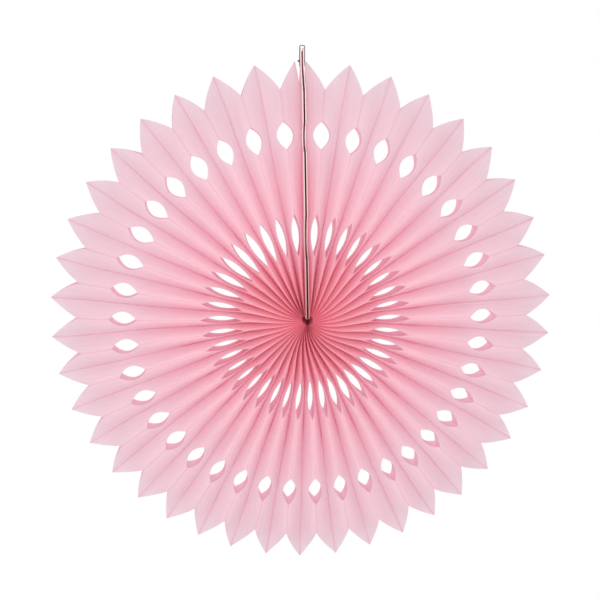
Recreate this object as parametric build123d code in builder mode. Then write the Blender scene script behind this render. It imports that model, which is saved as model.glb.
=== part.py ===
"""Paper fan rosette: a stack of die-cut tissue strips, glued in turn along their middle line and
along their two edges, opened right round and closed with two end cards. It hangs by a thread loop.

Millimetres, +Z up, front towards -Y. The origin is the top of the hanging loop's inside.
"""

import os
from math import cos, hypot, pi, radians, sin, sqrt

from build123d import *

# Outline of the opened rosette
petals = 40
tip_radius = 200.0  # from the axis to the petal tips
notch_depth = 22.0  # from the petal tips in to the notches between petals
petal_bulge = 0.8  # how far a petal's side swells past a straight line
hub_radius = 2.0  # the open middle, where the strips end

# Folds, which hang a little: they open at the top and crowd together below
dish_depth = 55.0  # how far the middle stands in front of the petal tips
sag = 5.4  # degrees by which the seams at the sides hang below an even spread
top_opening = 0.75  # degrees by which the folds beside the cards open further
notch_rise = 4.3  # height of the flattest ridges, beside the cards, at the notches
groove_run_out = 12.0  # length beside the hub over which the crowded grooves fill up
sheet = 0.4  # thickness of one wall of the folds
glue_line = 1.2  # height of the glued seam at the bottom of a groove
tip_seam = 4.0  # length of that seam past the end of the hollow, at a petal tip

# Holes, cut as half eyes into both edges of each strip
eye_inset = 58.0  # from the petal tips in to the middle of the eyes
eye_length = 22.5
eye_cut = 8.8  # depth of the half eye in the strip's edge
slit_radius = 64.5
slit_length = 33.0
slit_cut = 9.2

# End cards
card_thickness = 0.8
card_gap = 1.4
tab_height = 10.0  # how far the hanging tab stands above the petal tips
tab_width = 8.0
left_tip_stand_off = 4.2  # the loose tip of the end strip, clear of the left card
right_tip_stand_off = 1.2

# Joining tape between the cards
tape_edge_margin = 1.3  # from the tape's edge to the deepest cut in the cards' edges
tape_end_margin = 8.0

# Hanging loop
thread_diameter = 0.8
loop_hole_diameter = 3.0
loop_hole_drop = 6.0  # from the petal tip circle down to the hole's middle
loop_rise = 2.0  # from the tab's top up to the top of the loop's inside
loop_side_clearance = 0.1  # between a strand and the card beside it
seat_clearance = 0.15  # between the thread and the top of its hole
knot_diameter = 2.0

# Facets along the curved cuts
cut_steps = 4
petal_side_steps = 2


def seam_angle(seam):
    """Angle of a glued seam from the top, towards +X."""
    even = 2 * pi * seam / petals
    from_top = min(even, 2 * pi - even)
    drop = radians(sag) * sin(from_top)
    if 0 < seam < petals:
        drop += radians(top_opening) * (1 - from_top / pi)
    return even + drop if even <= pi else even - drop


def half_angle(fold):
    """Half the angle between a fold's two seams."""
    return (seam_angle(fold + 1) - seam_angle(fold)) / 2


# Sizes that follow from these
pair_half = card_gap / 2 + card_thickness
notch_radius = tip_radius - notch_depth
strip_half = hypot(notch_radius * sin(half_angle(0)), notch_rise)
eye_radius = tip_radius - eye_inset
groove_run = hub_radius + groove_run_out
tab_top = tip_radius + tab_height
loop_hole_radius = tip_radius - loop_hole_drop
loop_top = tab_top + loop_rise
axis_z = -loop_top
dish_slope = dish_depth / tip_radius


def seam_y(run):
    """Height along Y of the glued seams at a distance from the axis; zero at the loop's hole."""
    return dish_slope * (run - loop_hole_radius)


def half_pitch(run, half):
    """Half the width of a fold."""
    return run * sin(half)


def ridge_rise(run, half):
    """Height of a ridge above its seams: the strip's width is constant, so a wider fold is flatter."""
    rise = sqrt(strip_half**2 - half_pitch(min(run, notch_radius), half) ** 2)
    return rise * min(1.0, (tip_radius - run) / notch_depth)


def groove_rise(run):
    """Height of a groove's bottom above the middle of its seam."""
    filled = max(0.0, groove_run - run) / groove_run_out
    return glue_line / 2 + filled * (strip_half - glue_line / 2)


def outer_point(run, across, half):
    """Point on the outside of a fold: across is 0 on the ridge and 1 in the groove."""
    return run, across, ridge_rise(run, half) * (1 - across) + groove_rise(run) * across


def inner_point(run, across, half):
    """The same point on the inside of the wall."""
    pitch = half_pitch(run, half)
    rise = ridge_rise(min(run, notch_radius), half)
    slant = hypot(pitch, rise)
    if across == 0:
        return run, 0.0, ridge_rise(run, half) - sheet * slant / pitch
    if across == 1:
        return run, 1 - sheet * slant / (rise * pitch), 0.0
    _, _, height = outer_point(run, across, half)
    inset = sheet * ridge_rise(run, half) / (slant * pitch)
    return run, across - inset, height - sheet * pitch / slant


def cut_edge(radius, length, depth):
    """A half eye in a strip's edge, as points along the strip and across it."""
    steps = [2 * i / cut_steps - 1 for i in range(cut_steps + 1)]
    return [(radius + s * length / 2, depth / strip_half * (1 - s * s)) for s in steps]


def petal_side():
    """The petal's side from the notch out to the tip, as points along the strip and across it."""
    side_length = hypot(strip_half, notch_depth)
    points = []
    for i in range(petal_side_steps + 1):
        share = i / petal_side_steps
        swell = 4 * petal_bulge * share * (1 - share) / side_length
        run = notch_radius + share * notch_depth + swell * strip_half
        points.append((run, share - swell * notch_depth / strip_half))
    return points


def place(fold, side, layer, point):
    """Model position of a point on one fold: side is -1 or 1, layer is -1 in front and 1 behind."""
    run, across, height = point
    angle = (seam_angle(fold) + seam_angle(fold + 1)) / 2 + side * across * half_angle(fold)
    hand = 1 if fold < petals / 2 else -1
    room = hand * pair_half * cos(angle / 2) ** 2
    if fold == 0 and side < 0 or fold == petals - 1 and side > 0:
        stand_off = right_tip_stand_off if fold == 0 else left_tip_stand_off
        room += hand * stand_off * across * max(0.0, run - notch_radius) / notch_depth
    return Vector(run * sin(angle) + room, seam_y(run) + layer * height, axis_z + run * cos(angle))


def strip_between(first, second):
    """Triangles that fill the band between two chains of points, which run the same way."""
    triangles = []
    i = j = 0
    while i < len(first) - 1 or j < len(second) - 1:
        first_left = i < len(first) - 1
        if first_left and (j == len(second) - 1 or first[i + 1][0] <= second[j + 1][0]):
            triangles.append((first[i], first[i + 1], second[j]))
            i += 1
        else:
            triangles.append((first[i], second[j + 1], second[j]))
            j += 1
    return [t for t in triangles if len(set(t)) == 3]


def facet(points):
    return Face(Wire.make_polygon(points))


# Stations along one half of a fold, the same on every strip

slit_edge = cut_edge(slit_radius, slit_length, slit_cut)
eye_edge = cut_edge(eye_radius, eye_length, eye_cut)
petal_edge = petal_side()

ridge_stations = [(groove_run, 0), *slit_edge, *eye_edge, *petal_edge[:-1]]
groove_stations = [groove_run, slit_radius, eye_radius, notch_radius]

# Tissue fan: every half fold, front and back, with the hub's wall

tissue_facets = []
for fold in range(petals):
    half = half_angle(fold)
    outer_tip = outer_point(tip_radius, 1, half)
    inner_tip = inner_point(tip_radius - tip_seam, 1, half)
    cavity_end = (sheet / sin(half), 0.0, 0.0)
    outer_ridge = [outer_point(hub_radius, 0, half), *(outer_point(*s, half) for s in ridge_stations), outer_tip]
    outer_groove = [*(outer_point(run, 1, half) for run in (hub_radius, *groove_stations)), outer_tip]
    inner_ridge = [cavity_end, *(inner_point(*s, half) for s in ridge_stations), inner_tip]
    inner_groove = [cavity_end, *(inner_point(run, 1, half) for run in groove_stations), inner_tip]
    half_fold = strip_between(outer_ridge, outer_groove) + strip_between(inner_ridge, inner_groove)

    # Free edges of the sheet, where its outside and inside meet at a cut
    for edge in (slit_edge, eye_edge, petal_edge):
        outer_rim = [outer_point(*s, half) for s in edge]
        inner_rim = [inner_point(*s, half) for s in edge]
        if edge is petal_edge:
            inner_rim[-1] = inner_tip
        half_fold += strip_between(outer_rim, inner_rim)

    for side in (-1, 1):
        for layer in (-1, 1):
            tissue_facets += [facet([place(fold, side, layer, p) for p in t]) for t in half_fold]
        front_ridge, back_ridge = (place(fold, side, layer, outer_ridge[0]) for layer in (-1, 1))
        front_groove, back_groove = (place(fold, side, layer, outer_groove[0]) for layer in (-1, 1))
        front_tip, back_tip = (place(fold, side, layer, outer_tip) for layer in (-1, 1))
        tissue_facets.append(facet([front_ridge, front_groove, back_groove]))
        tissue_facets.append(facet([front_ridge, back_groove, back_ridge]))
        tissue_facets.append(facet([front_tip, back_tip, place(fold, side, -1, inner_tip)]))

    # The two ends of the fan, along the seams beside the cards
    for end_fold, side in ((0, -1), (petals - 1, 1)):
        if fold == end_fold:
            for near, far in zip(outer_groove, outer_groove[1:]):
                corners = [(-1, near), (-1, far), (1, far), (1, near)]
                tissue_facets.append(facet([place(fold, side, layer, p) for layer, p in corners]))

with BuildPart() as tissue_fan:
    add(Solid(Shell(tissue_facets)), clean=False)

tissue_fan.part.label = "tissue_fan"


# End cards: the strip's own outline, with a hanging tab in place of the spear's point


def on_card(run, across):
    """Point of the cards' plane, along Y and Z."""
    return seam_y(run) + across, axis_z + run


tab_half = tab_width / 2
tab_foot = tip_radius - notch_depth * tab_half / strip_half
tab_shoulder = tab_top - tab_half


def card_edge(side):
    """One long edge of a card, from the hub to the tab: side is -1 in front and 1 behind."""
    edge = side * strip_half
    Line(on_card(hub_radius, edge), on_card(slit_radius - slit_length / 2, edge))
    for radius, length, depth, end in (
        (slit_radius, slit_length, slit_cut, eye_radius - eye_length / 2),
        (eye_radius, eye_length, eye_cut, notch_radius),
    ):
        ThreePointArc(
            on_card(radius - length / 2, edge),
            on_card(radius, edge - side * depth),
            on_card(radius + length / 2, edge),
        )
        Line(on_card(radius + length / 2, edge), on_card(end, edge))
    Line(on_card(notch_radius, edge), on_card(tab_foot, side * tab_half))
    Line(on_card(tab_foot, side * tab_half), on_card(tab_shoulder, side * tab_half))


def make_card(side):
    with BuildPart() as card:
        with BuildSketch(Plane.YZ.offset(side * card_gap / 2)):
            with BuildLine():
                card_edge(-1)
                card_edge(1)
                Line(on_card(hub_radius, -strip_half), on_card(hub_radius, strip_half))
                ThreePointArc(
                    on_card(tab_shoulder, -tab_half), on_card(tab_top, 0), on_card(tab_shoulder, tab_half)
                )
            make_face()
            with Locations(on_card(loop_hole_radius, 0)):
                Circle(loop_hole_diameter / 2, mode=Mode.SUBTRACT)
        extrude(amount=side * card_thickness)
    return card


left_end_card = make_card(-1)
left_end_card.part.label = "left_end_card"
right_end_card = make_card(1)
right_end_card.part.label = "right_end_card"

# Joining tape, along the middle of the cards and up into the tab, where the loop's hole goes through it

tape_half = strip_half - max(eye_cut, slit_cut) - tape_edge_margin
tape_neck_half = tab_half - tape_edge_margin
tape_start = hub_radius + tape_end_margin
tape_shoulder = loop_hole_radius - tape_end_margin
tape_end = tab_top - 2 * tape_edge_margin

with BuildPart() as joining_tape:
    with BuildSketch(Plane.YZ):
        with BuildLine():
            Polyline(
                on_card(tape_start, -tape_half),
                on_card(tape_shoulder, -tape_half),
                on_card(tape_shoulder, -tape_neck_half),
                on_card(tape_end, -tape_neck_half),
                on_card(tape_end, tape_neck_half),
                on_card(tape_shoulder, tape_neck_half),
                on_card(tape_shoulder, tape_half),
                on_card(tape_start, tape_half),
                close=True,
            )
        make_face()
        with Locations(on_card(loop_hole_radius, 0)):
            Circle(loop_hole_diameter / 2, mode=Mode.SUBTRACT)
    extrude(amount=card_gap / 2, both=True)

joining_tape.part.label = "joining_tape"

# Hanging loop: one ring of thread through the cards' holes, with its knot beside the left card

strand_x = pair_half + loop_side_clearance + thread_diameter / 2
loop_bottom = axis_z + loop_hole_radius + (loop_hole_diameter - thread_diameter) / 2 - seat_clearance
loop_peak = thread_diameter / 2
knot_x = strand_x + thread_diameter

with BuildPart() as hanging_loop:
    with BuildLine(Plane.XZ) as half_loop:
        strand = FilletPolyline(
            (0, loop_bottom),
            (strand_x, loop_bottom),
            (strand_x, loop_peak - strand_x),
            radius=thread_diameter,
        )
        JernArc(start=strand @ 1, tangent=strand % 1, radius=strand_x, arc_size=90)
    with BuildSketch(Plane(origin=half_loop.line @ 0, z_dir=half_loop.line % 0)):
        Circle(thread_diameter / 2)
    sweep(path=half_loop.line)
    mirror(about=Plane.YZ)
    with Locations((-knot_x, 0, axis_z + tip_radius)):
        Sphere(knot_diameter / 2)

hanging_loop.part.label = "hanging_loop"

# One file for each piece

os.makedirs("parts", exist_ok=True)
for piece in (tissue_fan, left_end_card, right_end_card, joining_tape, hanging_loop):
    export_step(piece.part, f"parts/{piece.part.label}.step")
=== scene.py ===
"""Looks of the paper fan rosette: folded tissue, end cards, joining tape and a twisted thread loop.

Metres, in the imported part's frame: the origin is the top of the hanging loop's inside, +Z is up and
the front faces -Y. The sizes repeat those of the solids.
"""

from math import cos, hypot, pi, radians, sin

import bpy
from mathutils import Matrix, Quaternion, Vector


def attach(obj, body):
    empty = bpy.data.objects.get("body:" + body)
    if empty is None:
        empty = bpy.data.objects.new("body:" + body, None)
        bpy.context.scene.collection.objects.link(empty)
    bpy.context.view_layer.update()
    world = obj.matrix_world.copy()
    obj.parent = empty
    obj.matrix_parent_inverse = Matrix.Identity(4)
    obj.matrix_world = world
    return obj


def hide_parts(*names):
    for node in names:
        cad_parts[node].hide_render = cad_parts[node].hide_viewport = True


MM = 0.001

# Outline of the opened rosette, and its folds
PETALS = 40
TIP_RADIUS = 200 * MM
NOTCH_DEPTH = 22 * MM
PETAL_BULGE = 0.8 * MM
HUB_RADIUS = 2 * MM
DISH_DEPTH = 55 * MM
SAG = radians(5.4)
TOP_OPENING = radians(0.75)
NOTCH_RISE = 4.3 * MM

# Half eyes cut into both edges of each strip
EYE_RADIUS = 142 * MM
EYE_LENGTH = 22.5 * MM
EYE_CUT = 8.8 * MM
SLIT_RADIUS = 64.5 * MM
SLIT_LENGTH = 33 * MM
SLIT_CUT = 9.2 * MM

# End cards and hanging loop
PAIR_HALF = 1.5 * MM
TAB_HEIGHT = 10 * MM
LEFT_STAND_OFF = 4.2 * MM
RIGHT_STAND_OFF = 1.2 * MM
LOOP_RISE = 2 * MM
LOOP_HOLE_DROP = 6 * MM
STRAND_X = 2 * MM
LOOP_BOTTOM = -17.05 * MM
LOOP_PEAK = 0.4 * MM
THREAD = 0.8 * MM
KNOT_X = -2.8 * MM
KNOT_REACH = 0.66 * MM

# Sizes that follow from these
SECTOR = 2 * pi / PETALS
TOP_HALF = (SECTOR + SAG * sin(SECTOR) + TOP_OPENING * (1 - 2 / PETALS)) / 2
NOTCH_RADIUS = TIP_RADIUS - NOTCH_DEPTH
STRIP_HALF = hypot(NOTCH_RADIUS * sin(TOP_HALF), NOTCH_RISE)
AXIS_Z = -(TIP_RADIUS + TAB_HEIGHT + LOOP_RISE)
DISH_SLOPE = DISH_DEPTH / TIP_RADIUS
SEAM_ZERO = TIP_RADIUS - LOOP_HOLE_DROP

# How finely a strip is divided: steps along each stretch of it, and columns in each half
STRETCH_STEPS = (8, 10, 6, 10, 4)
PETAL_STEPS = 7
HALF_COLUMNS = 7

# Folds are uneven by soft noise. Steps through it from one ridge, seam, face, wing or petal to the
# next, and jumps from the back layer to the front one, keep any two from being alike
RIDGE_STEP, RIDGE_JUMP = 7.3, 31.7
SEAM_STEP = 5.9
FACE_STEP, FACE_JUMP = 9.1, 3.3
WING_STEP, WING_JUMP = 6.7, 17.9
PETAL_STEP = 8.3

# Each kind of unevenness is drawn at a place of its own past the seed
SEAM_DRAW = 7
RISE_DRAW = 3
FACE_DRAW = 11
WING_DRAW = 23
PETAL_DRAW = 31

# Waves of unevenness to a metre
WANDER_WAVES = 14
RISE_WAVES = 11
FACE_WAVES = 16
CRUMPLE_WAVES = 75

# A petal's wings lift more than they drop, and it bends over the last quarter of its strip
WING_LIFT_MORE = 0.3
BEND_START = 0.75

# Plies of the thread, the lines that it follows, and how finely they are drawn
PLIES = 3
PLY_RADIUS = 0.27 * THREAD
TWIST_RADIUS = 0.23 * THREAD
TWIST_LENGTH = 2.6 * MM
PLY_STEP = 0.2 * MM
PLY_SIDES = 8
LINE_ORDER = 3
LINE_STEPS = 16
KNOT_POINTS = 24

# Edges sharper than this show as creases
TISSUE_CREASE = radians(40)
PLY_CREASE = radians(60)

# Colours: the tissue's from the hub to the tips, deeper at the hub as painted shade and
# interreflection where the folds crowd, and paler at the tips as painted light let through; the card
# edges' likewise, darker towards the hub as painted shade
TISSUE_PINKS_AND_PAINTED_LIGHT = (
    (0.0, (1.0, 0.65, 0.74)),
    (0.38, (0.94, 0.86, 0.91)),
    (1.0, (0.83, 0.835, 0.865)),
)
GLUE_AND_SHADE_PINK = (0.78, 0.38, 0.47, 1.0)
# Deeper colour for light let through, and painted shade for the inside faces of the folds
THROUGH_TISSUE_AND_PAINTED_FOLD_SHADE = (1.0, 0.64, 0.72)
CARD_EDGE_CREAMS_AND_SHADE = (
    (0.0, (0.42, 0.16, 0.17)),
    (0.45, (0.66, 0.46, 0.44)),
    (1.0, (0.74, 0.6, 0.57)),
)
CARD_COAT = (0.9, 0.48, 0.57, 1.0)
# Dark maroon inside faces of the cards: painted shade in the gap between them
CARD_INSIDE_PAINTED_SHADE = (0.42, 0.1, 0.14, 1.0)
# The tape's dark brown is painted shade: it darkens the gap between the two cards, where it sits
TAPE_BROWN_PAINTED_GAP_SHADE = (0.16, 0.05, 0.06)
THREAD_GREY = (0.11, 0.085, 0.095)
FLOOR_GREY = (0.85, 0.85, 0.85, 1.0)
WHITE = (1.0, 1.0, 1.0, 1.0)

# Grain: clouds and fibres to a metre, and how far they change the tone
TISSUE_CLOUDS = {"Cloud Scale": 90.0, "Fibre Scale": 420.0, "Tone Change": 0.08}
TISSUE_WRINKLES = {"Cloud Scale": 380.0, "Fibre Scale": 900.0, "Tone Change": 0.16}
CARD_FIBRES = {"Cloud Scale": 140.0, "Fibre Scale": 1500.0, "Tone Change": 0.1}
TAPE_FIBRES = {**CARD_FIBRES, "Tone Change": 0.2}
THREAD_FIBRES = {**CARD_FIBRES, "Tone Change": 0.5}
CLOUD_PART, FIBRE_PART = 0.6, 0.4

# The tissue's grain is drawn out along the strip, and shifts from one strip to the next
CLOUD_DRAWN, CLOUD_SHIFT = 0.3, 0.37
WRINKLE_DRAWN, WRINKLE_SHIFT = 0.05, 0.61
WRINKLE_PART = 1.5

# Deeper lines spread this far from the line where two strips are stuck together, more in some places:
# partly glue, partly painted shade in the folds' creases
GLUE_AND_SHADE_LINE = 1.2 * MM
GLUE_AND_SHADE_SHOWS = 0.6
GLUE_AND_SHADE_ALONG, GLUE_AND_SHADE_ACROSS, GLUE_AND_SHADE_SHIFT = 9, 2, 3.7

# Finish: how rough and shiny, how deep the grain is, and the light that tissue lets through
TISSUE_ROUGH, TISSUE_SHINE = 0.9, 0.1
CARD_ROUGH, TAPE_ROUGH, THREAD_ROUGH = 0.75, 0.6, 0.85
BOARD_SHINE = 0.25
FLOOR_ROUGH = 0.9
TISSUE_GRAIN_DEPTH = 0.4 * MM
BOARD_GRAIN_DEPTH = 0.1 * MM
GRAIN_STRENGTH = 0.3
LET_THROUGH = 0.6

# Light and floor
WORLD_LIGHT = 0.8
KEY_PLACE = (-0.25, -3.4, 0.2)
KEY_SIZE = 1.4
KEY_POWER = 80.0
FLOOR_REACH = 6.0
FLOOR_LEVEL = -1.4

# Camera: where the middle of the rim falls in the picture, and how far from it the tips do
CAMERA_TURN = radians(-4.3)
CAMERA_HEIGHT = radians(7.4)
CAMERA_ROLL = radians(0.2)
CAMERA_DISTANCE = 4.0
SENSOR_WIDTH = 36.0
PICTURE = 600.0
MIDDLE_ACROSS, MIDDLE_DOWN = 301.1, 309.8
TIP_PIXELS = 249.5


# Nodes

def plug(tree, slot, value):
    """Gives a node's input a constant, or joins it to what another node works out."""
    if isinstance(value, Term):
        tree.links.new(value.socket, slot)
    else:
        slot.default_value = value


def number_math(tree, operation, *values):
    """A sum or other operation on numbers."""
    node = tree.nodes.new("ShaderNodeMath")
    node.operation = operation
    for slot, value in zip(node.inputs, values):
        plug(tree, slot, value)
    return Term(tree, node.outputs[0])


class Term:
    """A number, vector or shader that nodes work out, so that a rule can be written as a formula."""

    def __init__(self, tree, socket):
        self.tree = tree
        self.socket = socket

    def __add__(self, other):
        return number_math(self.tree, "ADD", self, other)

    def __sub__(self, other):
        return number_math(self.tree, "SUBTRACT", self, other)

    def __rsub__(self, other):
        return number_math(self.tree, "SUBTRACT", other, self)

    def __mul__(self, other):
        return number_math(self.tree, "MULTIPLY", self, other)

    def __truediv__(self, other):
        return number_math(self.tree, "DIVIDE", self, other)

    __radd__ = __add__
    __rmul__ = __mul__

    def apply(self, operation, *others):
        return number_math(self.tree, operation, self, *others)

    def at_least(self, least):
        return self.apply("MAXIMUM", least)

    def at_most(self, most):
        return self.apply("MINIMUM", most)


def add_node(tree, kind, settings=(), inputs=(), output=0):
    """A node with its settings made and its inputs plugged in; gives back one of its outputs."""
    node = tree.nodes.new(kind)
    for name, value in dict(settings).items():
        setattr(node, name, value)
    for name, value in dict(inputs).items():
        plug(tree, node.inputs[name], value)
    return Term(tree, node.outputs[output])


def vector_of(tree, x, y, z):
    """A vector from its three parts."""
    return add_node(tree, "ShaderNodeCombineXYZ", inputs={"X": x, "Y": y, "Z": z})


def parts_of(tree, vector):
    """The three parts of a vector."""
    node = tree.nodes.new("ShaderNodeSeparateXYZ")
    plug(tree, node.inputs[0], vector)
    return [Term(tree, socket) for socket in node.outputs]


def vector_math(tree, operation, *values, scale=None):
    """A sum or other operation on vectors."""
    node = tree.nodes.new("ShaderNodeVectorMath")
    node.operation = operation
    for slot, value in zip(node.inputs, values):
        plug(tree, slot, value)
    if scale is not None:
        plug(tree, node.inputs["Scale"], scale)
    return Term(tree, node.outputs[0])


def wave(tree, x, y, z, detail=0.0):
    """Soft noise around zero."""
    noise = add_node(
        tree,
        "ShaderNodeTexNoise",
        inputs={"Vector": vector_of(tree, x, y, z), "Scale": 1.0, "Detail": detail},
    )
    return noise - 0.5


def new_tree(name, kind, inputs, outputs):
    """An empty node group with named sockets; gives it back with its inputs by name."""
    tree = bpy.data.node_groups.new(name, kind)
    for label, socket in inputs:
        tree.interface.new_socket(label, in_out="INPUT", socket_type=socket)
    for label, socket in outputs:
        tree.interface.new_socket(label, in_out="OUTPUT", socket_type=socket)
    start = tree.nodes.new("NodeGroupInput")
    return tree, {label: Term(tree, start.outputs[label]) for label, _ in inputs}


def close_tree(tree, **results):
    """Joins a node group's results to its outputs."""
    end = tree.nodes.new("NodeGroupOutput")
    for name, value in results.items():
        plug(tree, end.inputs[name], value)


def run_tree(obj, tree, values):
    """Adds a node tree to an object as a modifier, with its inputs set by their identifiers."""
    modifier = obj.modifiers.new(tree.name, "NODES")
    modifier.node_group = tree
    for item in tree.interface.items_tree:
        if item.in_out == "INPUT" and item.name in values:
            modifier[item.identifier] = values[item.name]


def numbered_copies(tree, shape, count, name):
    """Copies of a shape, all in its own place, and the number that each of them carries."""
    points = add_node(tree, "GeometryNodeMeshLine", inputs={"Count": count, "Offset": (0, 0, 0)})
    index = add_node(tree, "GeometryNodeInputIndex")
    numbered = add_node(
        tree,
        "GeometryNodeStoreNamedAttribute",
        settings={"data_type": "INT", "domain": "POINT"},
        inputs={"Geometry": points, "Name": name, "Value": index},
    )
    copies = add_node(
        tree, "GeometryNodeInstanceOnPoints", inputs={"Points": numbered, "Instance": shape}
    )
    separate = add_node(tree, "GeometryNodeRealizeInstances", inputs={"Geometry": copies})
    number = add_node(
        tree, "GeometryNodeInputNamedAttribute", {"data_type": "INT"}, {"Name": name}
    )
    return separate, number


def link(obj):
    """Puts an object into the scene."""
    bpy.context.scene.collection.objects.link(obj)
    return obj


def plain_piece(source, name, crease):
    """A plain mesh object from an object with modifiers, which it takes the place of."""
    depsgraph = bpy.context.evaluated_depsgraph_get()
    mesh = bpy.data.meshes.new_from_object(source.evaluated_get(depsgraph), depsgraph=depsgraph)
    mesh.name = name
    mesh.shade_smooth()
    mesh.set_sharp_from_angle(angle=crease)
    bpy.data.objects.remove(source)
    return link(bpy.data.objects.new(name, mesh))


# Materials

def new_material(name):
    """A material with its nodes: the tree, the main shader and the output."""
    material = bpy.data.materials.new(name)
    material.use_nodes = True
    tree = material.node_tree
    return material, tree, tree.nodes["Principled BSDF"], tree.nodes["Material Output"]


def mix_shaders(tree, share, first, second, output):
    """Shows a mix of two shaders: the first where the share is 0, the second where it is 1."""
    mix = tree.nodes.new("ShaderNodeMixShader")
    for slot, value in zip(mix.inputs, (share, first, second)):
        plug(tree, slot, value)
    tree.links.new(mix.outputs[0], output.inputs["Surface"])


def make_paper_grain():
    """Cloudy fibres: a tone around one for the colour, and a height for the bump."""
    tree, given = new_tree(
        "Paper grain",
        "ShaderNodeTree",
        [
            ("Vector", "NodeSocketVector"),
            ("Cloud Scale", "NodeSocketFloat"),
            ("Fibre Scale", "NodeSocketFloat"),
            ("Tone Change", "NodeSocketFloat"),
        ],
        [("Tone", "NodeSocketFloat"), ("Height", "NodeSocketFloat")],
    )
    cloud = add_node(
        tree,
        "ShaderNodeTexNoise",
        inputs={"Vector": given["Vector"], "Scale": given["Cloud Scale"], "Detail": 3.0},
    )
    fibre = add_node(
        tree,
        "ShaderNodeTexNoise",
        inputs={
            "Vector": given["Vector"],
            "Scale": given["Fibre Scale"],
            "Detail": 2.0,
            "Distortion": 1.2,
        },
    )
    paper = cloud * CLOUD_PART + fibre * FIBRE_PART
    close_tree(tree, Tone=(paper - 0.5) * given["Tone Change"] + 1.0, Height=paper)
    return tree


def place_grain(tree, group, vector, grain):
    """Paper grain in a material, at its own scales; gives back its tone and its height."""
    node = tree.nodes.new("ShaderNodeGroup")
    node.node_tree = group
    plug(tree, node.inputs["Vector"], vector)
    for name, value in grain.items():
        plug(tree, node.inputs[name], value)
    return [Term(tree, socket) for socket in node.outputs]


def toned(tree, colour, tone):
    """A colour made lighter or darker by a tone."""
    return vector_math(tree, "SCALE", colour, scale=tone)


def bumped(tree, height, depth):
    """The surface's direction with grain of this depth on it."""
    return add_node(
        tree,
        "ShaderNodeBump",
        inputs={"Height": height, "Distance": depth, "Strength": GRAIN_STRENGTH},
    )


def mixed(tree, first, second, share):
    """A colour between two, at a share of the way from the first to the second."""
    node = tree.nodes.new("ShaderNodeMix")
    node.data_type = "RGBA"
    for slot, value in ((0, share), (6, first), (7, second)):
        plug(tree, node.inputs[slot], value)
    return Term(tree, node.outputs[2])


def ramped(tree, share, stops):
    """A colour that runs smoothly through stops, each a place from 0 to 1 and its colour."""
    node = tree.nodes.new("ShaderNodeValToRGB")
    plug(tree, node.inputs[0], share)
    points = node.color_ramp.elements
    for place, _ in stops[1:-1]:
        points.new(place)
    for point, (place, colour) in zip(points, stops):
        point.position = place
        point.color = (*colour, 1.0)
    return Term(tree, node.outputs[0])


def make_tissue_material(group):
    """Thin pink tissue, painted deepest at the hub as shade where the folds crowd and pale at the
    tips as light let through: it scatters light back and lets some through.
    """
    material, tree, principled, output = new_material("tissue")
    uv = add_node(tree, "ShaderNodeUVMap", settings={"uv_map": "UVMap"})
    across, along, _ = parts_of(tree, uv)
    strip = add_node(tree, "ShaderNodeAttribute", {"attribute_name": "strip"}, output="Fac")
    width = across * (2 * STRIP_HALF)
    from_seam = (across - 0.5).apply("ABSOLUTE") * (2 * STRIP_HALF)

    # Cloudy fibres, and fine wrinkles that run along the strip
    flat = vector_of(tree, width, along * (TIP_RADIUS * CLOUD_DRAWN), strip * CLOUD_SHIFT)
    tone, height = place_grain(tree, group, flat, TISSUE_CLOUDS)
    drawn = vector_of(tree, width, along * (TIP_RADIUS * WRINKLE_DRAWN), strip * WRINKLE_SHIFT)
    wrinkle_tone, wrinkle_height = place_grain(tree, group, drawn, TISSUE_WRINKLES)
    normal = bumped(tree, height + wrinkle_height * WRINKLE_PART, TISSUE_GRAIN_DEPTH)

    # The glue along the seam and along the ridge shows through as deeper lines, uneven along them;
    # the lines are also painted shade in the folds' creases
    seam_line = 1 - (from_seam / GLUE_AND_SHADE_LINE).at_most(1.0)
    ridge_line = 1 - ((STRIP_HALF - from_seam) / GLUE_AND_SHADE_LINE).at_most(1.0)
    spread = wave(tree, along * GLUE_AND_SHADE_ALONG, strip * GLUE_AND_SHADE_SHIFT, across * GLUE_AND_SHADE_ACROSS, detail=1.0)
    glued = (seam_line + ridge_line) * GLUE_AND_SHADE_SHOWS * (spread + 0.5)
    # The deep pink at the hub is painted shade where the folds crowd; the pale tips are painted light
    # let through the single sheet
    colour = mixed(tree, ramped(tree, along, TISSUE_PINKS_AND_PAINTED_LIGHT), GLUE_AND_SHADE_PINK, glued)
    colour = toned(tree, colour, tone * wrinkle_tone)

    # Light that comes through is deeper. The inside of a fold is painted deeper too, as painted shade
    # and painted interreflection between its pink walls
    deeper = vector_math(tree, "MULTIPLY", colour, THROUGH_TISSUE_AND_PAINTED_FOLD_SHADE)
    inside = add_node(tree, "ShaderNodeNewGeometry", output="Backfacing")

    plug(tree, principled.inputs["Base Color"], mixed(tree, colour, deeper, inside))
    plug(tree, principled.inputs["Roughness"], TISSUE_ROUGH)
    plug(tree, principled.inputs["Specular IOR Level"], TISSUE_SHINE)
    plug(tree, principled.inputs["Normal"], normal)
    through = add_node(
        tree, "ShaderNodeBsdfTranslucent", inputs={"Color": deeper, "Normal": normal}
    )
    mix_shaders(tree, LET_THROUGH, Term(tree, principled.outputs[0]), through, output)
    return material


def finish_board(tree, principled, group, place, colour, roughness, fibres):
    """Gives a dull board, strip or thread its colour, with fibres that lie in no one direction."""
    tone, height = place_grain(tree, group, place, fibres)
    plug(tree, principled.inputs["Base Color"], toned(tree, colour, tone))
    plug(tree, principled.inputs["Roughness"], roughness)
    plug(tree, principled.inputs["Specular IOR Level"], BOARD_SHINE)
    plug(tree, principled.inputs["Normal"], bumped(tree, height, BOARD_GRAIN_DEPTH))


def make_plain_material(name, group, colour, roughness, fibres):
    """Tape or thread of one colour."""
    material, tree, principled, _ = new_material(name)
    place = add_node(tree, "ShaderNodeTexCoord", output="Object")
    finish_board(tree, principled, group, place, colour, roughness, fibres)
    return material


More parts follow.
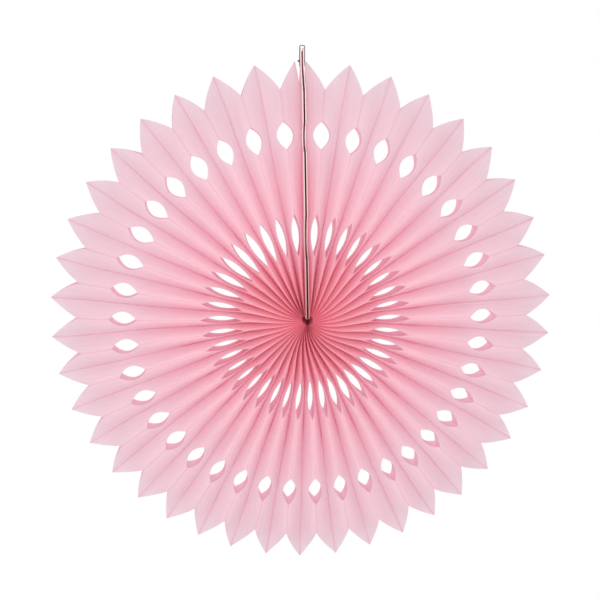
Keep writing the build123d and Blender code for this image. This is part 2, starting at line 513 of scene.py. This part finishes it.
def make_card_material(group):
    """Card with a pink coat outside, a dark maroon inside that is painted shade in the gap between
    the cards, and pale cut edges painted darker towards the hub as shade.
    """
    material, tree, principled, _ = new_material("card")
    place = add_node(tree, "ShaderNodeTexCoord", output="Object")
    turned, _, _ = parts_of(tree, add_node(tree, "ShaderNodeTexCoord", output="Normal"))
    off_middle, _, up = parts_of(tree, place)
    outside = turned * off_middle.apply("SIGN")
    along = (up - AXIS_Z) / TIP_RADIUS
    # Cream cut edges, painted darker towards the hub as shade
    edge = ramped(tree, along, CARD_EDGE_CREAMS_AND_SHADE)
    coated = mixed(tree, edge, CARD_COAT, outside.at_least(0.0))
    # The inside faces are painted shade in the gap between the two cards
    colour = mixed(tree, coated, CARD_INSIDE_PAINTED_SHADE, (0 - outside).at_least(0.0))
    finish_board(tree, principled, group, place, colour, CARD_ROUGH, CARD_FIBRES)
    return material


# Tissue: one flat die-cut strip, copied and folded by nodes

def half_eye(run, middle, length, depth):
    """How deep a half eye is cut at a distance along the strip."""
    share = (run - middle) / (length / 2)
    return depth * max(0.0, 1 - share * share)


def strip_outline():
    """The die-cut strip, as pairs of a distance along it and its half width there."""
    stops = (
        HUB_RADIUS,
        SLIT_RADIUS - SLIT_LENGTH / 2,
        SLIT_RADIUS + SLIT_LENGTH / 2,
        EYE_RADIUS - EYE_LENGTH / 2,
        EYE_RADIUS + EYE_LENGTH / 2,
        NOTCH_RADIUS,
    )
    outline = []
    for start, end, steps in zip(stops, stops[1:], STRETCH_STEPS):
        for i in range(steps):
            run = start + (end - start) * i / steps
            cut = half_eye(run, SLIT_RADIUS, SLIT_LENGTH, SLIT_CUT)
            cut += half_eye(run, EYE_RADIUS, EYE_LENGTH, EYE_CUT)
            outline.append((run, STRIP_HALF - cut))
    side_length = hypot(STRIP_HALF, NOTCH_DEPTH)
    for i in range(PETAL_STEPS + 1):
        share = i / PETAL_STEPS
        swell = 4 * PETAL_BULGE * share * (1 - share) / side_length
        run = NOTCH_RADIUS + share * NOTCH_DEPTH + swell * STRIP_HALF
        outline.append((run, STRIP_HALF * (1 - share) + swell * NOTCH_DEPTH))
    return outline


def flat_strip():
    """One strip as it is cut: X across it, Z along it."""
    outline = strip_outline()
    columns = 2 * HALF_COLUMNS + 1
    points = [
        (half * (column / HALF_COLUMNS - 1), 0.0, run)
        for run, half in outline[:-1]
        for column in range(columns)
    ]
    faces = []
    for row in range(len(outline) - 2):
        for column in range(columns - 1):
            corner = row * columns + column
            faces.append((corner, corner + 1, corner + columns + 1, corner + columns))
    last, tip = (len(outline) - 2) * columns, len(points)
    faces += [(last + column, last + column + 1, tip) for column in range(columns - 1)]
    points.append((0.0, 0.0, outline[-1][0]))
    mesh = bpy.data.meshes.new("flat_strip")
    mesh.from_pydata(points, [], faces)
    layer = mesh.uv_layers.new(name="UVMap")
    for loop in mesh.loops:
        x, _, z = mesh.vertices[loop.vertex_index].co
        layer.data[loop.index].uv = (x / (2 * STRIP_HALF) + 0.5, z / TIP_RADIUS)
    return link(bpy.data.objects.new("flat_strip", mesh))


def seam_angle(tree, given, seam):
    """Angle of a glued seam from the top: the folds open there and crowd together below."""
    even = seam * (2 * pi) / given["Petals"]
    turned = even - even.apply("GREATER_THAN", pi) * (2 * pi)
    from_top = turned.apply("ABSOLUTE")
    beside = (from_top * given["Petals"] / (2 * pi)).at_most(1.0)
    drop = from_top.apply("SINE") * given["Sag"]
    drop = drop + (1 - from_top / pi) * beside * given["Top Opening"]
    return even + turned.apply("SIGN") * drop


def make_fan_tree():
    """Copies a flat strip twice for each petal and folds the copies into the opened fan."""
    names = (
        "Strip Half", "Tip Radius", "Notch Depth", "Sag", "Top Opening", "Dish Slope", "Seam Zero",
        "Axis Height", "Card Pair Half", "Left Stand Off", "Right Stand Off", "Ridge Share", "Arch",
        "Layer Lean", "Fold Swing", "Rise Change", "Bow", "Petal Bend", "Wing Lift", "Hub Twist",
        "Hub Lean", "Twist Run", "Crumple", "Seed",
    )
    tree, given = new_tree(
        "Opened fan",
        "GeometryNodeTree",
        [("Geometry", "NodeSocketGeometry"), ("Petals", "NodeSocketInt")]
        + [(name, "NodeSocketFloat") for name in names]
        + [("Material", "NodeSocketMaterial")],
        [("Geometry", "NodeSocketGeometry")],
    )
    strips, strip = numbered_copies(tree, given["Geometry"], given["Petals"] * 2, "strip")

    # Where a point lies on its strip, and which seam and ridge the strip joins
    across, _, run = parts_of(tree, add_node(tree, "GeometryNodeInputPosition"))
    seam = (strip / 2).apply("FLOOR")
    side = (strip - seam * 2) * 2 - 1
    ridge = (seam * 2 + side + given["Petals"] * 2).apply("MODULO", given["Petals"] * 2)
    layer = across.apply("SIGN")
    away = seam.at_most(1.0)
    to_seam = 1 - across.apply("ABSOLUTE") / given["Strip Half"]
    to_ridge = 1 - to_seam
    notch_radius = given["Tip Radius"] - given["Notch Depth"]
    past_notch = ((run - notch_radius) / given["Notch Depth"]).at_least(0.0)
    seed = given["Seed"]

    # The fold's two seams, and its ridge midway between them
    near = seam_angle(tree, given, seam)
    far = seam_angle(tree, given, seam + side)
    half = (far - near).apply("ABSOLUTE") * 0.5
    middle = (far + near) * 0.5

    # The strip's width is constant, so a wider fold is flatter; its ridge is a soft arch
    pitch = run.at_most(notch_radius) * half.apply("SINE")
    folded = (given["Strip Half"] * given["Strip Half"] - pitch * pitch).at_least(0.0)
    rise = folded.apply("SQRT") * (1 - past_notch) * given["Ridge Share"]
    arch = 1 - to_seam.at_least(0.0).apply("POWER", given["Arch"])

    # Uneven folds: ridges and seams wander, faces bow, petals bend and their wings lift
    ridge_place = ridge * RIDGE_STEP + layer * RIDGE_JUMP
    face_place = strip * FACE_STEP + layer * FACE_JUMP
    wing_place = strip * WING_STEP + layer * WING_JUMP
    ridge_wander = wave(tree, ridge_place, run * WANDER_WAVES, seed)
    seam_wander = wave(tree, seam * SEAM_STEP, run * WANDER_WAVES, seed + SEAM_DRAW) * away
    rise_wave = wave(tree, ridge_place, run * RISE_WAVES, seed + RISE_DRAW)
    rise = rise * (rise_wave * given["Rise Change"] + 1)
    bow = wave(tree, face_place, run * FACE_WAVES, seed + FACE_DRAW) * given["Bow"]
    bow = bow * to_seam * to_ridge * 4
    lift = wave(tree, wing_place, seed + WING_DRAW, 0.0) + WING_LIFT_MORE
    lift = lift * given["Wing Lift"] * past_notch * to_ridge
    bent = ((run / given["Tip Radius"] - BEND_START) / (1 - BEND_START)).at_least(0.0)
    bend = wave(tree, seam * PETAL_STEP, seed + PETAL_DRAW, 0.0) * bent * bent
    bend = bend * given["Petal Bend"] * away
    height = rise * arch + bow + lift

    # Near the hub the folds lean and twist
    angle = middle - side * to_seam * half
    below = (1 - angle.apply("COSINE")) * 0.5
    near_hub = (1 - run / given["Twist Run"]).at_least(0.0)
    near_hub = near_hub * near_hub
    lean = middle.apply("SINE") * arch * near_hub * given["Hub Lean"]
    swing = (seam_wander * to_seam + ridge_wander * to_ridge) * given["Fold Swing"]
    angle = angle + swing + lean + near_hub * below * given["Hub Twist"]

    # At the top there is room for the pair of cards, and the tips beside them stand off a little
    on_left, on_right = 0.5 - side * 0.5, side * 0.5 + 0.5
    stand_off = given["Left Stand Off"] * on_left + given["Right Stand Off"] * on_right
    hand = middle.apply("SINE").apply("SIGN")
    room = hand * given["Card Pair Half"] * (1 - below)
    room = room + side * stand_off * past_notch * to_seam * (1 - away)

    # Round the axis: the dish tips the strips, so their front edges lie further out than their
    # back edges
    radius = run - layer * height * given["Layer Lean"]
    x = radius * angle.apply("SINE") + room
    y = given["Dish Slope"] * (run - given["Seam Zero"]) + layer * height + bend
    z = given["Axis Height"] + radius * angle.apply("COSINE")
    crumple = wave(
        tree, x * CRUMPLE_WAVES, z * CRUMPLE_WAVES, y * CRUMPLE_WAVES + seed, detail=1.0
    )
    y = y + crumple * given["Crumple"]

    placed = add_node(
        tree,
        "GeometryNodeSetPosition",
        inputs={"Geometry": strips, "Position": vector_of(tree, x, y, z)},
    )
    outward = add_node(
        tree,
        "GeometryNodeFlipFaces",
        inputs={"Mesh": placed, "Selection": side.apply("GREATER_THAN", 0.0)},
    )
    finished = add_node(
        tree,
        "GeometryNodeSetMaterial",
        inputs={"Geometry": outward, "Material": given["Material"]},
    )
    close_tree(tree, Geometry=finished)
    return tree


def make_tissue(material):
    """The opened fan of eighty strips, as one mesh."""
    strip = flat_strip()
    run_tree(
        strip,
        make_fan_tree(),
        {
            "Petals": PETALS,
            "Strip Half": STRIP_HALF,
            "Tip Radius": TIP_RADIUS,
            "Notch Depth": NOTCH_DEPTH,
            "Sag": SAG,
            "Top Opening": TOP_OPENING,
            "Dish Slope": DISH_SLOPE,
            "Seam Zero": SEAM_ZERO,
            "Axis Height": AXIS_Z,
            "Card Pair Half": PAIR_HALF,
            "Left Stand Off": LEFT_STAND_OFF,
            "Right Stand Off": RIGHT_STAND_OFF,
            "Ridge Share": 0.85,
            "Arch": 1.45,
            "Layer Lean": 0.14,
            "Fold Swing": 0.02,
            "Rise Change": 0.15,
            "Bow": 1.5 * MM,
            "Petal Bend": 5 * MM,
            "Wing Lift": 3 * MM,
            "Hub Twist": 0.3,
            "Hub Lean": 0.35,
            "Twist Run": 60 * MM,
            "Crumple": 0.8 * MM,
            "Seed": 4.0,
            "Material": material,
        },
    )
    return plain_piece(strip, "tissue", TISSUE_CREASE)


# Hanging loop: twisted plies along the thread's own line

def make_thread_tree():
    """Copies a line once for each ply, winds the copies round it and gives them their thickness."""
    tree, given = new_tree(
        "Twisted thread",
        "GeometryNodeTree",
        [
            ("Geometry", "NodeSocketGeometry"),
            ("Plies", "NodeSocketInt"),
            ("Ply Radius", "NodeSocketFloat"),
            ("Twist Radius", "NodeSocketFloat"),
            ("Twist Length", "NodeSocketFloat"),
            ("Step", "NodeSocketFloat"),
            ("Sides", "NodeSocketInt"),
            ("Material", "NodeSocketMaterial"),
        ],
        [("Geometry", "NodeSocketGeometry")],
    )
    line = add_node(
        tree,
        "GeometryNodeResampleCurve",
        settings={"mode": "LENGTH"},
        inputs={"Curve": given["Geometry"], "Length": given["Step"]},
    )
    plies, ply = numbered_copies(tree, line, given["Plies"], "ply")
    gone = add_node(tree, "GeometryNodeSplineParameter", output="Length")
    turn = (gone / given["Twist Length"] + ply / given["Plies"]) * (2 * pi)
    normal = add_node(tree, "GeometryNodeInputNormal")
    tangent = add_node(tree, "GeometryNodeInputTangent")
    other = vector_math(tree, "CROSS_PRODUCT", tangent, normal)
    offset = vector_math(
        tree,
        "ADD",
        vector_math(tree, "SCALE", normal, scale=turn.apply("COSINE") * given["Twist Radius"]),
        vector_math(tree, "SCALE", other, scale=turn.apply("SINE") * given["Twist Radius"]),
    )
    twisted = add_node(
        tree, "GeometryNodeSetPosition", inputs={"Geometry": plies, "Offset": offset}
    )
    profile = add_node(
        tree,
        "GeometryNodeCurvePrimitiveCircle",
        inputs={"Resolution": given["Sides"], "Radius": given["Ply Radius"]},
    )
    tube = add_node(
        tree,
        "GeometryNodeCurveToMesh",
        inputs={"Curve": twisted, "Profile Curve": profile, "Fill Caps": True},
    )
    finished = add_node(
        tree, "GeometryNodeSetMaterial", inputs={"Geometry": tube, "Material": given["Material"]}
    )
    close_tree(tree, Geometry=finished)
    return tree


def smooth_line(name, points, closed=False):
    """A NURBS curve object with these control points."""
    curve = bpy.data.curves.new(name, "CURVE")
    curve.dimensions = "3D"
    curve.resolution_u = LINE_STEPS
    spline = curve.splines.new("NURBS")
    spline.points.add(len(points) - 1)
    for control, point in zip(spline.points, points):
        control.co = (*point, 1.0)
    spline.order_u = LINE_ORDER
    spline.use_endpoint_u = not closed
    spline.use_cyclic_u = closed
    return link(bpy.data.objects.new(name, curve))


def make_thread(name, line, tree, material):
    """Twisted thread along a line, which it takes the place of."""
    run_tree(
        line,
        tree,
        {
            "Plies": PLIES,
            "Ply Radius": PLY_RADIUS,
            "Twist Radius": TWIST_RADIUS,
            "Twist Length": TWIST_LENGTH,
            "Step": PLY_STEP,
            "Sides": PLY_SIDES,
            "Material": material,
        },
    )
    return plain_piece(line, name, PLY_CREASE)


def knot_points():
    """Control points of a trefoil knot around the left strand."""
    centre = Vector((KNOT_X, 0.0, AXIS_Z + TIP_RADIUS))
    points = []
    for i in range(KNOT_POINTS):
        t = 2 * pi * i / KNOT_POINTS
        flat = Vector((sin(t) + 2 * sin(2 * t), -sin(3 * t), cos(t) - 2 * cos(2 * t)))
        points.append(centre + flat * (KNOT_REACH / 3))
    return points


def make_hanging_loop(material):
    """The thread from the right card's hole, over the top and back into the left card's hole."""
    route = [
        (PAIR_HALF, 0.0, LOOP_BOTTOM),
        (STRAND_X, 0.0, LOOP_BOTTOM),
        (STRAND_X, 0.0, LOOP_PEAK - STRAND_X),
        (STRAND_X, 0.0, LOOP_PEAK),
        (-STRAND_X, 0.0, LOOP_PEAK),
        (-STRAND_X, 0.0, LOOP_PEAK - STRAND_X),
        (-STRAND_X, 0.0, LOOP_BOTTOM),
        (-PAIR_HALF, 0.0, LOOP_BOTTOM),
    ]
    in_holes = [
        (-PAIR_HALF, 0.0, LOOP_BOTTOM),
        (0.0, 0.0, LOOP_BOTTOM),
        (PAIR_HALF, 0.0, LOOP_BOTTOM),
    ]
    tree = make_thread_tree()
    line = smooth_line("thread_line", route)
    path = [v.co.copy() for v in bpy.data.meshes.new_from_object(line).vertices]
    loop = make_thread("hanging_thread", line, tree, material)
    hole_line = smooth_line("hole_line", in_holes)
    through = make_thread("thread_in_holes", hole_line, tree, material)
    knot_line = smooth_line("knot_line", knot_points(), closed=True)
    knot = make_thread("thread_knot", knot_line, tree, material)
    for piece in (loop, through, knot):
        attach(piece, "root")
    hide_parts("hanging_loop")


# Studio

def make_world():
    """Even light from all round; the camera sees plain white behind the object."""
    world = bpy.data.worlds.new("studio")
    world.use_nodes = True
    bpy.context.scene.world = world
    tree = world.node_tree
    light = tree.nodes["Background"]
    plug(tree, light.inputs["Color"], WHITE)
    plug(tree, light.inputs["Strength"], WORLD_LIGHT)
    seen = add_node(tree, "ShaderNodeBackground", inputs={"Color": WHITE, "Strength": 1.0})
    to_camera = add_node(tree, "ShaderNodeLightPath", output="Is Camera Ray")
    to_gloss = add_node(tree, "ShaderNodeLightPath", output="Is Glossy Ray")
    shown = to_camera.at_least(to_gloss)
    mix_shaders(tree, shown, Term(tree, light.outputs[0]), seen, tree.nodes["World Output"])


def make_floor():
    """A white floor well below the hanging fan."""
    corners = [
        (-FLOOR_REACH, -FLOOR_REACH, FLOOR_LEVEL),
        (FLOOR_REACH, -FLOOR_REACH, FLOOR_LEVEL),
        (FLOOR_REACH, FLOOR_REACH, FLOOR_LEVEL),
        (-FLOOR_REACH, FLOOR_REACH, FLOOR_LEVEL),
    ]
    mesh = bpy.data.meshes.new("floor")
    mesh.from_pydata(corners, [], [(0, 1, 2, 3)])
    material, tree, principled, output = new_material("floor")
    plug(tree, principled.inputs["Base Color"], FLOOR_GREY)
    plug(tree, principled.inputs["Roughness"], FLOOR_ROUGH)
    glow = add_node(tree, "ShaderNodeEmission")
    to_camera = add_node(tree, "ShaderNodeLightPath", output="Is Camera Ray")
    mix_shaders(tree, to_camera, Term(tree, principled.outputs[0]), glow, output)
    mesh.materials.append(material)
    link(bpy.data.objects.new("floor", mesh))


def add_key_lamp(target):
    """One broad soft lamp from the front."""
    lamp = bpy.data.lights.new("key", "AREA")
    lamp.size = KEY_SIZE
    lamp.energy = KEY_POWER
    obj = link(bpy.data.objects.new("key", lamp))
    obj.location = KEY_PLACE
    obj.rotation_euler = (target - Vector(KEY_PLACE)).to_track_quat("-Z", "Y").to_euler()


def make_camera(target):
    """The photograph's view: a little from the left and above."""
    camera = bpy.data.cameras.new("camera")
    camera.sensor_width = SENSOR_WIDTH
    camera.lens = SENSOR_WIDTH * TIP_PIXELS / PICTURE * CAMERA_DISTANCE / TIP_RADIUS
    camera.shift_x = -(MIDDLE_ACROSS - PICTURE / 2) / PICTURE
    camera.shift_y = (MIDDLE_DOWN - PICTURE / 2) / PICTURE
    obj = link(bpy.data.objects.new("camera", camera))
    level = cos(CAMERA_HEIGHT)
    back = Vector((sin(CAMERA_TURN) * level, -cos(CAMERA_TURN) * level, sin(CAMERA_HEIGHT)))
    obj.location = target + back * CAMERA_DISTANCE
    facing = (-back).to_track_quat("-Z", "Y") @ Quaternion((0, 0, 1), CAMERA_ROLL)
    obj.rotation_euler = facing.to_euler()
    bpy.context.scene.camera = obj


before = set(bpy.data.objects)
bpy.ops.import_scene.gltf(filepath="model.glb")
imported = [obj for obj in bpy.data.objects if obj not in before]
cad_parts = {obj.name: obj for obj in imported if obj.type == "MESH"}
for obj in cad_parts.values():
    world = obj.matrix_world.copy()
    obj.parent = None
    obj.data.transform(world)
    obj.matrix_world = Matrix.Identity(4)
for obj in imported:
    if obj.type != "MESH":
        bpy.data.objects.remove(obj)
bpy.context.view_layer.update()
bpy.context.scene.view_settings.view_transform = "Standard"

grain = make_paper_grain()
tissue = make_tissue(make_tissue_material(grain))
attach(tissue, "root")
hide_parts("tissue_fan")

card = make_card_material(grain)
# The tape's dark colour is painted shade in the gap between the cards
tape = make_plain_material("tape", grain, TAPE_BROWN_PAINTED_GAP_SHADE, TAPE_ROUGH, TAPE_FIBRES)
for node, material in (("left_end_card", card), ("right_end_card", card), ("joining_tape", tape)):
    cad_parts[node].data.materials.clear()
    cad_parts[node].data.materials.append(material)

thread = make_plain_material("thread", grain, THREAD_GREY, THREAD_ROUGH, THREAD_FIBRES)
make_hanging_loop(thread)

rim_middle = Vector((0.0, DISH_SLOPE * (TIP_RADIUS - SEAM_ZERO), AXIS_Z))
make_world()
make_floor()
add_key_lamp(rim_middle)
make_camera(rim_middle)
